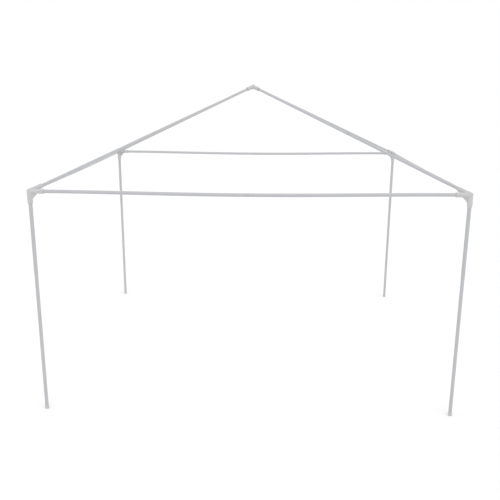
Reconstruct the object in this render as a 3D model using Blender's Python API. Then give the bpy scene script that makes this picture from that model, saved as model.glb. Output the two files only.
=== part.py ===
"""The bare frame of a square canopy with a pyramid roof: steel tubes pushed into moulded connectors.

Sizes are in metres. +Z is up, the ground is z = 0 and the origin lies under the peak. A node is a point
where the tubes' axes meet. The frame repeats four times about the Z axis, so each piece is modelled once
for the front side and its front left corner, and copied by turning it about the peak.
"""

import math

import bmesh
import bpy
from mathutils import Matrix, Vector

# Layout of the nodes.
SPAN = 3.65  # between corner nodes, across the front and down the sides
EAVE_HEIGHT = 1.985  # corner nodes above the ground
PEAK_HEIGHT = 2.830  # peak node above the ground
FRONT_SAG = 0.017  # how far the front and back beams hang at mid-span
SIDE_SAG = 0.006  # the same for the beams of the other two sides

# Steel tubes.
TUBE_WALL = 0.0008
BEAM_RADIUS = 0.0150
RAFTER_RADIUS = 0.0120
UPPER_LEG_RADIUS = 0.0165
LOWER_LEG_RADIUS = 0.0153
FIT_GAP = 0.0003  # between two pieces that touch
PAST_END = 0.010  # how far a bore's cutter runs out of its socket
SWAGE_CLEARANCE = 0.0007  # between a reduced tube end and the bore that takes it
SWAGE_LENGTH = 0.080  # of a reduced end past its shoulder
SWAGE_TAPER = 0.006  # of the shoulder
ROOF_SIDES = 12  # flat sides of a roof tube
LEG_SIDES = 16  # flat sides of a leg, a socket and a foot cap
BEAM_SPANS = 4  # straight stretches along each half of a sagging beam

# Leg: an upper tube, and a thinner lower one that slides into it as far as a rolled bead.
LEG_JOINT_HEIGHT = 1.280
LEG_OVERLAP = 0.100
BEAD_WIDTH = 0.006
BEAD_SLOPE = 0.0015  # the part of its width over which it rises
BEAD_RADIUS = 0.0165

# Foot cap.
CAP_RADIUS = 0.0170
CAP_HEIGHT = 0.035
CAP_FLOOR = 0.004
CAP_ROUNDING = 0.003

# Corner connector. Distances along a socket are from the corner node.
BEAM_SOCKET_RADIUS = 0.0205  # of the rafter sockets too
LEG_SOCKET_RADIUS = 0.0228
BEAM_SOCKET_END = 0.120
LEG_SOCKET_END = 0.106
BEAM_STOP = 0.040  # where a beam's end meets the bottom of its socket
RAFTER_STOP = 0.042
LEG_STOP = 0.038
SOCKET_CHAMFER = 0.0015
LEG_SOCKET_TAPER = 0.014  # the length over which its mouth narrows
LEG_SOCKET_NARROWING = 0.0045
TOP_SKIN = 0.0008  # the sloping top stands this far above the rafter socket
TOP_FACET_TURN = math.radians(30)  # between its facets, one after another about the rafter's axis
GUSSET_REACH = 0.063  # along the beam socket
GUSSET_DROP = 0.064  # down the leg socket
GUSSET_THICKNESS = 0.012

# Crown connector. Distances along an arm are from the peak node.
CROWN_ARM_RADIUS = 0.0195
CROWN_ARM_END = 0.090
CROWN_STOP = 0.030
CROWN_BOSS_RADIUS = 0.0215
CROWN_BOSS_BOTTOM = 0.027
CROWN_BOSS_TOP = 0.012
CROWN_BOSS_CHAMFER = 0.003
CROWN_TIP_RADIUS = 0.010
CROWN_TIP_HEIGHT = 0.0245
CROWN_TIP_TOP_RADIUS = 0.0033
CROWN_ARM_STEP = 0.0002  # one pair of arms is this much slimmer than the other

# Snap buttons: a round nose on a bent spring strip inside the tube.
NOSE_RADIUS = 0.0032
NOSE_SIDES = 8
NOSE_BEVEL = 0.0010
HOLE_RADIUS = 0.0038
CUTTER_REACH = 0.030  # of a hole's cutter, from a tube's axis to past every wall
STRIP_THICKNESS = 0.0009
STRIP_WIDTH = 0.006
STRIP_FRONT = 0.006  # the strip's reach past the nose
STRIP_BACK = 0.030  # from the nose to the strip's bend
BEND_DEPTH = 0.0030
BEAM_BUTTON_AT = 0.090  # from the corner node, along the beam
LEG_BUTTON_AT = 0.081  # below the corner node
SWAGE_BUTTON_AT = 0.040  # past mid-span, and past the end of the upper leg
PROUD_OF_SOCKET = 0.0004
PROUD_OF_TUBE = 0.0025

HALF = SPAN / 2
SLOPE = math.atan2(PEAK_HEIGHT - EAVE_HEIGHT, HALF * math.sqrt(2))
RAFTER_LENGTH = math.hypot(PEAK_HEIGHT - EAVE_HEIGHT, HALF * math.sqrt(2))
BEAM_SPIGOT_RADIUS = BEAM_RADIUS - TUBE_WALL - SWAGE_CLEARANCE
RAFTER_SPIGOT_RADIUS = RAFTER_RADIUS - TUBE_WALL - SWAGE_CLEARANCE
OUTWARD = Vector((-1, -1, 0)).normalized()  # from the peak to the front left corner, level
SIDES = (
    # side, its first corner, where its beam's first and second halves lie, and how far the beam hangs
    ("front", "front_left", "left", "right", FRONT_SAG),
    ("right", "front_right", "front", "back", SIDE_SAG),
    ("back", "back_right", "right", "left", FRONT_SAG),
    ("left", "back_left", "back", "front", SIDE_SAG),
)


def clear_start():
    """Removes whatever the scene holds."""
    for item in list(bpy.data.objects):
        bpy.data.objects.remove(item, do_unlink=True)


def material(name, color, roughness, metallic):
    """A plain Principled BSDF material."""
    made = bpy.data.materials.new(name)
    made.use_nodes = True
    shader = made.node_tree.nodes["Principled BSDF"]
    shader.inputs["Base Color"].default_value = (*color, 1.0)
    shader.inputs["Roughness"].default_value = roughness
    shader.inputs["Metallic"].default_value = metallic
    return made


def bore_radius(tube_radius, sides):
    """The corner radius of a many-sided bore whose flats clear a tube."""
    return (tube_radius + FIT_GAP) / math.cos(math.pi / sides)


def inscribed(radius, sides):
    """The radius of the circle that just fits inside a many-sided bore."""
    return radius * math.cos(math.pi / sides)


def along(axis, origin=(0, 0, 0)):
    """A frame whose local Z runs along an axis from an origin."""
    turn = Vector(axis).to_track_quat("Z", "Y").to_matrix().to_4x4()
    return Matrix.Translation(Vector(origin)) @ turn


def ring_points(frame, distance, radius, sides):
    """The corners of a many-sided ring round a frame's Z axis, at a distance along it."""
    points = []
    for index in range(sides):
        angle = 2 * math.pi * index / sides
        local = Vector((radius * math.cos(angle), radius * math.sin(angle), distance))
        points.append(frame @ local)
    return points


def mesh_from_rings(name, rings, closed):
    """Skins rings of equal size. A closed skin joins the last ring to the first, an open one has end caps."""
    shape = bmesh.new()
    loops = [[shape.verts.new(point) for point in ring] for ring in rings]
    pairs = list(zip(loops, loops[1:]))
    if closed:
        pairs.append((loops[-1], loops[0]))
    else:
        shape.faces.new(loops[0])
        shape.faces.new(loops[-1])
    for first, second in pairs:
        for index in range(len(first)):
            after = (index + 1) % len(first)
            shape.faces.new((first[index], first[after], second[after], second[index]))
    bmesh.ops.recalc_face_normals(shape, faces=shape.faces)
    mesh = bpy.data.meshes.new(name)
    shape.to_mesh(mesh)
    shape.free()
    return mesh


def turned(name, profile, sides, frame=Matrix(), closed=False):
    """Turns a profile of (distance, radius) points about a frame's Z axis."""
    rings = [ring_points(frame, distance, radius, sides) for distance, radius in profile]
    return mesh_from_rings(name, rings, closed)


def rod(name, start, end, radius, sides, chamfer=0.0):
    """A solid round bar between two points, with its far end chamfered."""
    start = Vector(start)
    length = (Vector(end) - start).length
    profile = [(0.0, radius)]
    if chamfer:
        profile.append((length - chamfer, radius))
    profile.append((length, radius - chamfer))
    return turned(name, profile, sides, along(Vector(end) - start, start))


def plate(name, outline, thickness, frame):
    """A flat plate: an outline in a frame's XZ plane, with its thickness along the frame's Y."""
    rings = []
    for offset in (-thickness / 2, thickness / 2):
        rings.append([frame @ Vector((x, offset, z)) for x, z in outline])
    return mesh_from_rings(name, rings, closed=False)


def combined(name, base, additions=(), cuts=()):
    """One mesh: a base with other meshes joined to it, and then others cut from it."""
    body = bpy.data.objects.new(name, base)
    bpy.context.collection.objects.link(body)
    helpers = []
    steps = [("UNION", mesh) for mesh in additions] + [("DIFFERENCE", mesh) for mesh in cuts]
    for operation, mesh in steps:
        helper = bpy.data.objects.new(mesh.name + "_tool", mesh)
        bpy.context.collection.objects.link(helper)
        helpers.append(helper)
        step = body.modifiers.new(operation, "BOOLEAN")
        step.operation = operation
        step.solver = "EXACT"
        step.object = helper
    depsgraph = bpy.context.evaluated_depsgraph_get()
    mesh = bpy.data.meshes.new_from_object(body.evaluated_get(depsgraph))
    mesh.name = name
    for item in [body, *helpers]:
        bpy.data.objects.remove(item, do_unlink=True)
    return mesh


def add_piece(name, mesh, finish, holder, place=Matrix()):
    """Puts one named piece in the scene, under the empty of its side of the frame."""
    if not mesh.materials:
        mesh.materials.append(finish)
        mesh.shade_smooth()
        mesh.set_sharp_from_angle(angle=math.radians(30))
    piece = bpy.data.objects.new(name, mesh)
    bpy.context.collection.objects.link(piece)
    piece.parent = holder
    piece.matrix_local = place
    return piece


# Tubes.


def sagging_frame(distance, sag):
    """A frame on a beam's axis at a distance from mid-span. Its Z runs along the beam, towards +X.

    The beam is clamped level in its sockets, so it hangs between them in a curve that is level at both
    ends and in the middle.
    """
    free_half = HALF - BEAM_SOCKET_END
    reach = min(abs(distance) / free_half, 1.0)
    drop = sag * (1 - reach**2) ** 2
    rise = 4 * sag * reach * (1 - reach**2) / free_half
    direction = Vector((1, 0, math.copysign(rise, distance)))
    return along(direction, (distance, 0, -drop))


def beam_stations(first, last):
    """Distances from mid-span at which a beam half has a ring, between its socket and mid-span."""
    free_half = HALF - BEAM_SOCKET_END
    stations = [first]
    for step in range(BEAM_SPANS, 0, -1):
        stations.append(-free_half * step / BEAM_SPANS)
    stations.append(last)
    return stations


def sagging_tube(name, outline, sag):
    """A tube along the sagging axis, from a closed outline of (distance, radius) points."""
    rings = [ring_points(sagging_frame(d, sag), 0.0, r, ROOF_SIDES) for d, r in outline]
    return mesh_from_rings(name, rings, closed=True)


def hole_cutter(place):
    """The cutter for a button's hole, from a tube's axis out along a frame's Z."""
    return turned("hole", [(0.0, HOLE_RADIUS), (CUTTER_REACH, HOLE_RADIUS)], NOSE_SIDES, place)


def beam_holes(distances, sag):
    """Cutters for holes in a front beam's outer wall, at distances from mid-span."""
    cutters = []
    for distance in distances:
        centre = sagging_frame(distance, sag).translation
        cutters.append(hole_cutter(along((0, -1, 0), centre)))
    return cutters


def beam_swaged_half(sag):
    """The half of a beam, on the -X side, whose end is reduced to slide into the other half."""
    stations = beam_stations(BEAM_STOP + FIT_GAP - HALF, -SWAGE_TAPER)
    outer = [(d, BEAM_RADIUS) for d in stations]
    outer += [(0.0, BEAM_SPIGOT_RADIUS), (SWAGE_LENGTH, BEAM_SPIGOT_RADIUS)]
    inner = [(d, r - TUBE_WALL) for d, r in reversed(outer)]
    base = sagging_tube("beam_swaged_half", outer + inner, sag)
    holes = beam_holes((BEAM_BUTTON_AT - HALF, SWAGE_BUTTON_AT), sag)
    return combined("beam_swaged_half", base, cuts=holes)


def beam_plain_half(sag):
    """The half of a beam, on the +X side, whose plain end slides over the other half."""
    stations = [-d for d in reversed(beam_stations(BEAM_STOP + FIT_GAP - HALF, -FIT_GAP))]
    outer = [(d, BEAM_RADIUS) for d in stations]
    inner = [(d, r - TUBE_WALL) for d, r in reversed(outer)]
    base = sagging_tube("beam_plain_half", outer + inner, sag)
    holes = beam_holes((HALF - BEAM_BUTTON_AT, SWAGE_BUTTON_AT), sag)
    return combined("beam_plain_half", base, cuts=holes)


def rafter_lower_half():
    """The lower half of a rafter, along Z from the corner node, with a reduced upper end."""
    middle = RAFTER_LENGTH / 2
    outer = [
        (RAFTER_STOP + FIT_GAP, RAFTER_RADIUS),
        (middle - SWAGE_TAPER, RAFTER_RADIUS),
        (middle, RAFTER_SPIGOT_RADIUS),
        (middle + SWAGE_LENGTH, RAFTER_SPIGOT_RADIUS),
    ]
    inner = [(d, r - TUBE_WALL) for d, r in reversed(outer)]
    return turned("rafter_lower_half", outer + inner, ROOF_SIDES, closed=True)


def rafter_upper_half():
    """The upper half of a rafter, along Z from the corner node."""
    start = RAFTER_LENGTH / 2 + FIT_GAP
    end = RAFTER_LENGTH - CROWN_STOP - FIT_GAP
    outer = [(start, RAFTER_RADIUS), (end, RAFTER_RADIUS)]
    inner = [(d, r - TUBE_WALL) for d, r in reversed(outer)]
    return turned("rafter_upper_half", outer + inner, ROOF_SIDES, closed=True)


def upper_leg():
    """The upper leg tube. Its origin is the corner node."""
    top = -LEG_STOP - FIT_GAP
    bottom = LEG_JOINT_HEIGHT - EAVE_HEIGHT
    bore = UPPER_LEG_RADIUS - TUBE_WALL
    outline = [(bottom, UPPER_LEG_RADIUS), (top, UPPER_LEG_RADIUS), (top, bore), (bottom, bore)]
    base = turned("upper_leg", outline, LEG_SIDES, closed=True)
    holes = []
    for height in (-LEG_BUTTON_AT, bottom + SWAGE_BUTTON_AT):
        holes.append(hole_cutter(along(OUTWARD, (0, 0, height))))
    return combined("upper_leg", base, cuts=holes)


def lower_leg():
    """The lower leg tube, with the rolled bead that the upper tube stands on. Its origin is at the joint."""
    foot = CAP_FLOOR + FIT_GAP - LEG_JOINT_HEIGHT
    bore = LOWER_LEG_RADIUS - TUBE_WALL
    outline = [
        (foot, LOWER_LEG_RADIUS),
        (-BEAD_WIDTH, LOWER_LEG_RADIUS),
        (BEAD_SLOPE - BEAD_WIDTH, BEAD_RADIUS),
        (-FIT_GAP, BEAD_RADIUS),
        (-FIT_GAP, LOWER_LEG_RADIUS),
        (LEG_OVERLAP, LOWER_LEG_RADIUS),
        (LEG_OVERLAP, bore),
        (foot, bore),
    ]
    base = turned("lower_leg", outline, LEG_SIDES, closed=True)
    hole = hole_cutter(along(OUTWARD, (0, 0, SWAGE_BUTTON_AT)))
    return combined("lower_leg", base, cuts=[hole])


def foot_cap():
    """The plastic cup on the end of a lower leg. Its origin is on the ground."""
    bore = bore_radius(LOWER_LEG_RADIUS, LEG_SIDES)
    outline = []
    for angle in (0, math.pi / 4, math.pi / 2):
        height = CAP_ROUNDING * (1 - math.cos(angle))
        radius = CAP_RADIUS - CAP_ROUNDING * (1 - math.sin(angle))
        outline.append((height, radius))
    outline += [(CAP_HEIGHT, CAP_RADIUS), (CAP_HEIGHT, bore), (CAP_FLOOR, bore)]
    return turned("foot_cap", outline, LEG_SIDES)


# Connectors.


def rafter_direction():
    """The unit vector up a rafter, from the front left corner node towards the peak."""
    level = -OUTWARD * math.cos(SLOPE)
    return level + Vector((0, 0, math.sin(SLOPE)))


def trimmed(mesh, planes):
    """A convex mesh without what lies in front of planes, which are given as (point, normal)."""
    shape = bmesh.new()
    shape.from_mesh(mesh)
    for point, normal in planes:
        parts = [*shape.verts, *shape.edges, *shape.faces]
        cut = bmesh.ops.bisect_plane(shape, geom=parts, plane_co=point, plane_no=normal, clear_outer=True)
        rim = [part for part in cut["geom_cut"] if isinstance(part, bmesh.types.BMEdge)]
        bmesh.ops.contextual_create(shape, geom=rim)
    bmesh.ops.recalc_face_normals(shape, faces=shape.faces)
    shape.to_mesh(mesh)
    shape.free()
    return mesh


def leg_socket_body():
    """The upright barrel of a corner connector. Its top is a ridge of five facets over the rafter's line."""
    barrel = turned(
        "leg_socket",
        [
            (-LEG_SOCKET_END, LEG_SOCKET_RADIUS - LEG_SOCKET_NARROWING),
            (LEG_SOCKET_TAPER - LEG_SOCKET_END, LEG_SOCKET_RADIUS),
            (2 * LEG_SOCKET_RADIUS, LEG_SOCKET_RADIUS),
        ],
        LEG_SIDES,
    )
    facets = []
    for step in range(-2, 3):
        turn = Matrix.Rotation(step * TOP_FACET_TURN, 3, rafter_direction())
        normal = turn @ rafter_direction().cross(OUTWARD.cross(Vector((0, 0, 1)))).normalized()
        facets.append((normal * (BEAM_SOCKET_RADIUS + TOP_SKIN), normal))
    return trimmed(barrel, facets)


def gusset(quarter_turn):
    """The web between the leg socket and a beam socket."""
    core = LEG_SOCKET_RADIUS / 2  # the web starts inside both barrels
    outline = [
        (core, -core),
        (GUSSET_REACH, -core),
        (GUSSET_REACH, -BEAM_SOCKET_RADIUS),
        (LEG_SOCKET_RADIUS, -GUSSET_DROP),
        (core, -GUSSET_DROP),
    ]
    frame = Matrix.Rotation(quarter_turn * math.pi / 2, 4, "Z")
    return plate("gusset", outline, GUSSET_THICKNESS, frame)


def corner_connector():
    """The moulded front left corner: sockets for a leg, two beams and a rafter. Its origin is the node."""
    up_rafter = rafter_direction()
    axes = (Vector((1, 0, 0)), Vector((0, 1, 0)), up_rafter)
    stops = (BEAM_STOP, BEAM_STOP, RAFTER_STOP)
    barrels = []
    bores = []
    for axis, stop, tube_radius in zip(axes, stops, (BEAM_RADIUS, BEAM_RADIUS, RAFTER_RADIUS)):
        bore = bore_radius(tube_radius, LEG_SIDES)
        end = axis * BEAM_SOCKET_END
        barrels.append(rod("socket", (0, 0, 0), end, BEAM_SOCKET_RADIUS, LEG_SIDES, SOCKET_CHAMFER))
        bores.append(rod("bore", axis * stop, axis * (BEAM_SOCKET_END + PAST_END), bore, LEG_SIDES))
    leg_bore = bore_radius(UPPER_LEG_RADIUS, LEG_SIDES)
    bores.append(rod("leg_bore", (0, 0, -LEG_STOP), (0, 0, -LEG_SOCKET_END - PAST_END), leg_bore, LEG_SIDES))
    holes = [
        hole_cutter(along((0, -1, 0), (BEAM_BUTTON_AT, 0, 0))),
        hole_cutter(along((-1, 0, 0), (0, BEAM_BUTTON_AT, 0))),
        hole_cutter(along(OUTWARD, (0, 0, -LEG_BUTTON_AT))),
    ]
    webs = [gusset(0), gusset(1)]
    return combined("corner_connector", leg_socket_body(), additions=barrels + webs, cuts=bores + holes)


def bent_rod(name, quarter_turn, rod_radius):
    """Two opposite arms of the crown as one solid bar, mitred upright at the peak."""
    turn = Matrix.Rotation(math.pi / 4 + quarter_turn * math.pi / 2, 4, "Z")
    ends = []
    for side in (-1, 1):
        axis = Vector((side * math.cos(SLOPE), 0, -math.sin(SLOPE)))
        # both arms' rings are laid out from the same level direction, so that they skin without a twist
        across = Vector((0, 1, 0))
        over = across.cross(Vector((math.cos(SLOPE), 0, -side * math.sin(SLOPE))))
        arm = []
        for distance, radius in (
            (CROWN_ARM_END, rod_radius - SOCKET_CHAMFER),
            (CROWN_ARM_END - SOCKET_CHAMFER, rod_radius),
        ):
            ring = []
            for index in range(LEG_SIDES):
                angle = 2 * math.pi * (index + 0.5) / LEG_SIDES
                offset = across * math.cos(angle) - over * math.sin(angle)
                ring.append(turn @ (axis * distance + offset * radius))
            arm.append(ring)
        ends.append(arm)
    middle = []
    for index in range(LEG_SIDES):
        angle = 2 * math.pi * (index + 0.5) / LEG_SIDES
        height = rod_radius * math.sin(angle) / math.cos(SLOPE)
        middle.append(turn @ Vector((0, rod_radius * math.cos(angle), height)))
    rings = ends[0] + [middle] + ends[1][::-1]
    return mesh_from_rings(name, rings, closed=False)


def crown_connector():
    """The moulded peak: four arms down the slopes, joined at a boss with a small pointed tip."""
    boss = turned(
        "boss",
        [
            (-CROWN_BOSS_BOTTOM, CROWN_BOSS_RADIUS - CROWN_BOSS_CHAMFER),
            (CROWN_BOSS_CHAMFER - CROWN_BOSS_BOTTOM, CROWN_BOSS_RADIUS),
            (CROWN_BOSS_TOP, CROWN_BOSS_RADIUS),
        ],
        LEG_SIDES,
    )
    tip = turned("tip", [(0.0, CROWN_TIP_RADIUS), (CROWN_TIP_HEIGHT, CROWN_TIP_TOP_RADIUS)], NOSE_SIDES)
    bore = bore_radius(RAFTER_RADIUS, LEG_SIDES)
    bores = []
    for quarter in range(4):
        angle = math.pi / 4 + quarter * math.pi / 2
        level = Vector((math.cos(angle), math.sin(angle), 0)) * math.cos(SLOPE)
        axis = level - Vector((0, 0, math.sin(SLOPE)))
        bores.append(rod("bore", axis * CROWN_STOP, axis * (CROWN_ARM_END + PAST_END), bore, LEG_SIDES))
    # the second pair is a little slimmer, so that no edge of one pair meets an edge of the other
    arms = [bent_rod("arms", 0, CROWN_ARM_RADIUS), bent_rod("arms", 1, CROWN_ARM_RADIUS - CROWN_ARM_STEP)]
    return combined("crown_connector", boss, additions=arms + [tip], cuts=bores)


# Snap buttons. Each mesh has X along its tube and Z out through the hole, from the tube's axis.


def snap_button(name, tube_bore, sides, nose_top):
    """A round nose riveted to a spring strip, which is bent back on itself inside the tube."""
    room = math.sqrt(inscribed(tube_bore, sides) ** 2 - (STRIP_WIDTH / 2) ** 2)
    face = room - FIT_GAP
    tail = -tube_bore / 4  # the strip's free end, past the tube's axis
    outline = [
        (STRIP_FRONT, face),
        (-STRIP_BACK, face),
        (-STRIP_BACK - BEND_DEPTH / 2, face - BEND_DEPTH / 2),
        (-STRIP_BACK, face - BEND_DEPTH),
        (STRIP_FRONT, tail - STRIP_THICKNESS),
        (STRIP_FRONT, tail),
        (-STRIP_BACK + BEND_DEPTH, face - 2 * STRIP_THICKNESS),
        (-STRIP_BACK + BEND_DEPTH / 2, face - STRIP_THICKNESS),
        (STRIP_FRONT, face - STRIP_THICKNESS),
    ]
    strip = plate("strip", outline, STRIP_WIDTH, Matrix())
    nose = turned(
        "nose",
        [
            (face - STRIP_THICKNESS / 2, NOSE_RADIUS),
            (nose_top - NOSE_BEVEL, NOSE_RADIUS),
            (nose_top, NOSE_RADIUS - NOSE_BEVEL),
        ],
        NOSE_SIDES,
    )
    return combined(name, strip, additions=[nose])


def pointing(place, tube_axis, outward):
    """Where a button goes: its X along the tube and its Z outward."""
    x_axis = Vector(tube_axis).normalized()
    z_axis = Vector(outward).normalized()
    y_axis = z_axis.cross(x_axis)
    turn = Matrix((x_axis, y_axis, z_axis)).transposed().to_4x4()
    return Matrix.Translation(Vector(place)) @ turn


def button_places(sag):
    """The mesh and the place of each snap button of one side, whose beam has a sag, and its first corner."""
    beam_top = BEAM_SOCKET_RADIUS + PROUD_OF_SOCKET
    socket_mesh = snap_button("beam_button", BEAM_RADIUS - TUBE_WALL, ROOF_SIDES, beam_top)
    middle_mesh = snap_button(
        "middle_button", BEAM_SPIGOT_RADIUS - TUBE_WALL, ROOF_SIDES, BEAM_RADIUS + PROUD_OF_TUBE
    )
    leg_mesh = snap_button(
        "leg_button", UPPER_LEG_RADIUS - TUBE_WALL, LEG_SIDES, LEG_SOCKET_RADIUS + PROUD_OF_SOCKET
    )
    joint_mesh = snap_button(
        "joint_button", LOWER_LEG_RADIUS - TUBE_WALL, LEG_SIDES, UPPER_LEG_RADIUS + PROUD_OF_TUBE
    )
    beam = Vector((0, -HALF, EAVE_HEIGHT))
    corner = Vector((-HALF, -HALF, 0))
    front = (0, -1, 0)
    middle = beam + sagging_frame(SWAGE_BUTTON_AT, sag).translation
    first = beam + Vector((BEAM_BUTTON_AT - HALF, 0, 0))
    second = beam + Vector((HALF - BEAM_BUTTON_AT, 0, 0))
    socket = corner + Vector((0, 0, EAVE_HEIGHT - LEG_BUTTON_AT))
    joint = corner + Vector((0, 0, LEG_JOINT_HEIGHT + SWAGE_BUTTON_AT))
    return {
        "first": (socket_mesh, pointing(first, (-1, 0, 0), front)),
        "second": (socket_mesh, pointing(second, (1, 0, 0), front)),
        "middle": (middle_mesh, pointing(middle, (1, 0, 0), front)),
        "leg": (leg_mesh, pointing(socket, (0, 0, 1), OUTWARD)),
        "joint": (joint_mesh, pointing(joint, (0, 0, 1), OUTWARD)),
    }


def build():
    """Models each piece once and places its four copies."""
    clear_start()
    coated_steel = material("coated_steel", (0.52, 0.52, 0.55), 0.42, 0.0)
    moulding = material("moulding", (0.58, 0.58, 0.575), 0.55, 0.0)
    plated_steel = material("plated_steel", (0.60, 0.60, 0.58), 0.30, 1.0)

    beam = Matrix.Translation((0, -HALF, EAVE_HEIGHT))
    node = Matrix.Translation((-HALF, -HALF, EAVE_HEIGHT))
    leg_joint = Matrix.Translation((-HALF, -HALF, LEG_JOINT_HEIGHT))
    foot = Matrix.Translation((-HALF, -HALF, 0))
    up_rafter = along(rafter_direction(), node.translation)
    corner_pieces = (
        ("corner_connector", corner_connector(), moulding, node),
        ("rafter_lower", rafter_lower_half(), coated_steel, up_rafter),
        ("rafter_upper", rafter_upper_half(), coated_steel, up_rafter),
        ("upper_leg", upper_leg(), coated_steel, node),
        ("lower_leg", lower_leg(), coated_steel, leg_joint),
        ("foot_cap", foot_cap(), moulding, foot),
    )
    side_pieces = {}
    for sag in (FRONT_SAG, SIDE_SAG):
        side_pieces[sag] = (beam_swaged_half(sag), beam_plain_half(sag), button_places(sag))

    for turn, (side, corner, first, second, sag) in enumerate(SIDES):
        holder = bpy.data.objects.new(side + "_side", None)
        bpy.context.collection.objects.link(holder)
        holder.rotation_euler.z = turn * math.pi / 2
        for name, mesh, finish, place in corner_pieces:
            add_piece(f"{name}_{corner}", mesh, finish, holder, place)
        swaged_half, plain_half, buttons = side_pieces[sag]
        add_piece(f"{side}_beam_{first}_half", swaged_half, coated_steel, holder, beam)
        add_piece(f"{side}_beam_{second}_half", plain_half, coated_steel, holder, beam)
        button_names = {
            "first": f"{side}_beam_button_{first}",
            "second": f"{side}_beam_button_{second}",
            "middle": f"{side}_beam_button_middle",
            "leg": f"leg_button_{corner}",
            "joint": f"leg_joint_button_{corner}",
        }
        for key, name in button_names.items():
            mesh, place = buttons[key]
            add_piece(name, mesh, plated_steel, holder, place)

    peak = bpy.data.objects.new("peak", None)
    bpy.context.collection.objects.link(peak)
    peak.location = (0, 0, PEAK_HEIGHT)
    add_piece("crown_connector", crown_connector(), moulding, peak)


build()
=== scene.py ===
"""The looks of a square canopy frame: coated tubes, moulded connectors, foot caps and snap buttons.

Sizes are in metres, +Z is up and the ground is z = 0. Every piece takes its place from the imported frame. Each
kind of piece is shaped once, for the front side and its front left corner, and copied to the other sides by
turning it about the peak.
"""
import math

import bmesh
import bpy
import numpy as np
from mathutils import Matrix, Vector


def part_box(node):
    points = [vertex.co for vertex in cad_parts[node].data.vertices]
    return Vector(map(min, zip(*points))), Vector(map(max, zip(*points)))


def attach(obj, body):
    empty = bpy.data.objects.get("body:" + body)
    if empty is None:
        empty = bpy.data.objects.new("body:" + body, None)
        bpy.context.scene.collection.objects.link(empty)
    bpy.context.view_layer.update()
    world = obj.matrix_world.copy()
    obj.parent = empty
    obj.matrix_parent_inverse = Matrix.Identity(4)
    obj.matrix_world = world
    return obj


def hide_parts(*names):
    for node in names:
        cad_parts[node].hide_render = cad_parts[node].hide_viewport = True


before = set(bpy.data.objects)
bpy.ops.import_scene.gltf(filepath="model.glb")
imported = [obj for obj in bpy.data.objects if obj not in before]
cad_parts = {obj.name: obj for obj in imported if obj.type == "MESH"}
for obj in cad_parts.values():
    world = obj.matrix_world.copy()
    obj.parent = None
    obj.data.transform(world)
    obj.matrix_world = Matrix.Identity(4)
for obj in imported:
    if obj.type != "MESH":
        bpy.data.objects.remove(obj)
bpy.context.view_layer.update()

# Tubes, as in the CAD model.
TUBE_WALL = 0.0008
BEAM_RADIUS = 0.0150
RAFTER_RADIUS = 0.0120
UPPER_LEG_RADIUS = 0.0165
LOWER_LEG_RADIUS = 0.0153
BEAD_RADIUS = 0.0165
FIT_GAP = 0.0003
SWAGE_CLEARANCE = 0.0007
BEAM_SPIGOT_RADIUS = BEAM_RADIUS - TUBE_WALL - SWAGE_CLEARANCE
RAFTER_SPIGOT_RADIUS = RAFTER_RADIUS - TUBE_WALL - SWAGE_CLEARANCE
SPIGOT_LENGTH = 0.080
SPIGOT_TAPER = 0.006
LEG_OVERLAP = 0.100
FRONT_SAG = 0.017  # how far the front and back beams hang at mid-span
SIDE_SAG = 0.006
TUBE_SIDES = 40
RING_SPACING = 0.045  # between the rings of a long tube
TUBE_EDGE = 0.0022  # how far a tube's corners are cut back, where its wall leaves room
BEAD_SHOULDER = 0.0058  # how far the bead's lower shoulder is below the leg joint
BEAD_SLOPE = 0.0020  # how far below its shoulder the bead runs out
SOILED_HEIGHT = 0.35  # how far up a lower leg the dirt reaches

# Sockets. Distances are from the node where the tubes' axes meet.
BEAM_SOCKET_RADIUS = 0.0205
LEG_SOCKET_RADIUS = 0.0228
BEAM_SOCKET_END = 0.120
LEG_SOCKET_END = 0.106
BEAM_STOP = 0.040
RAFTER_STOP = 0.042
LEG_STOP = 0.038
TOP_SKIN = 0.0008
GUSSET_REACH = 0.063
GUSSET_DROP = 0.064
GUSSET_THICKNESS = 0.012
COLLAR_HEIGHT = 0.0005  # the band round a socket's mouth stands this far above its barrel
COLLAR_LENGTH = 0.013
COLLAR_OVERLAP = 0.004  # how far a barrel ends inside its collar, and a collar starts inside its barrel
LEG_COLLAR_LENGTH = 0.023
LEG_MOUTH_TAPER = 0.014  # the length over which the leg socket's mouth narrows
LEG_MOUTH_NARROWING = 0.0045
MOUTH_ROUNDING = 0.0016
BORE_CLEARANCE = 0.00035
LEAD_IN = 0.0010  # the chamfer inside a socket's mouth
CUT_THROUGH = 0.010  # how far a bore's cutter runs on past the mouth
MOULDED_FILLET = 0.0055
PLATE_ROUNDING = 0.0028
TOP_ROUNDING = 0.004
MOULD_GRID = 0.0015  # the size of the faces of a moulded shape
SMOOTHING_ROUNDS = 6
LEG_BARREL_TOP = 0.060  # above the node, where the rounded top has already cut it off

# The rough shapes that a moulded shape starts from. They only have to lie near its skin.
ROUGH_SIDES = 24
ROUGH_LEG_RADIUS = 0.022
ROUGH_LEG_BOTTOM = -0.088
ROUGH_LEG_TOP = 0.018
ROUGH_BEAM_RADIUS = 0.020
ROUGH_CROWN_RADIUS = 0.019
ROUGH_TIP_HEIGHT = 0.022
ROUGH_TIP_RADIUS = 0.013

# Crown.
CROWN_ARM_RADIUS = 0.0195
CROWN_ARM_END = 0.090
CROWN_STOP = 0.030
CROWN_BOSS_RADIUS = 0.0205
CROWN_BOSS_BOTTOM = 0.0265
CROWN_TIP_HEIGHT = 0.0245
CROWN_TIP_RADIUS = 0.0075
CROWN_TIP_DIP = 0.0010  # the tip stays this far under the top of the CAD model
CROWN_ARM_FILLET = 0.004
CROWN_TIP_FILLET = 0.003

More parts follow.
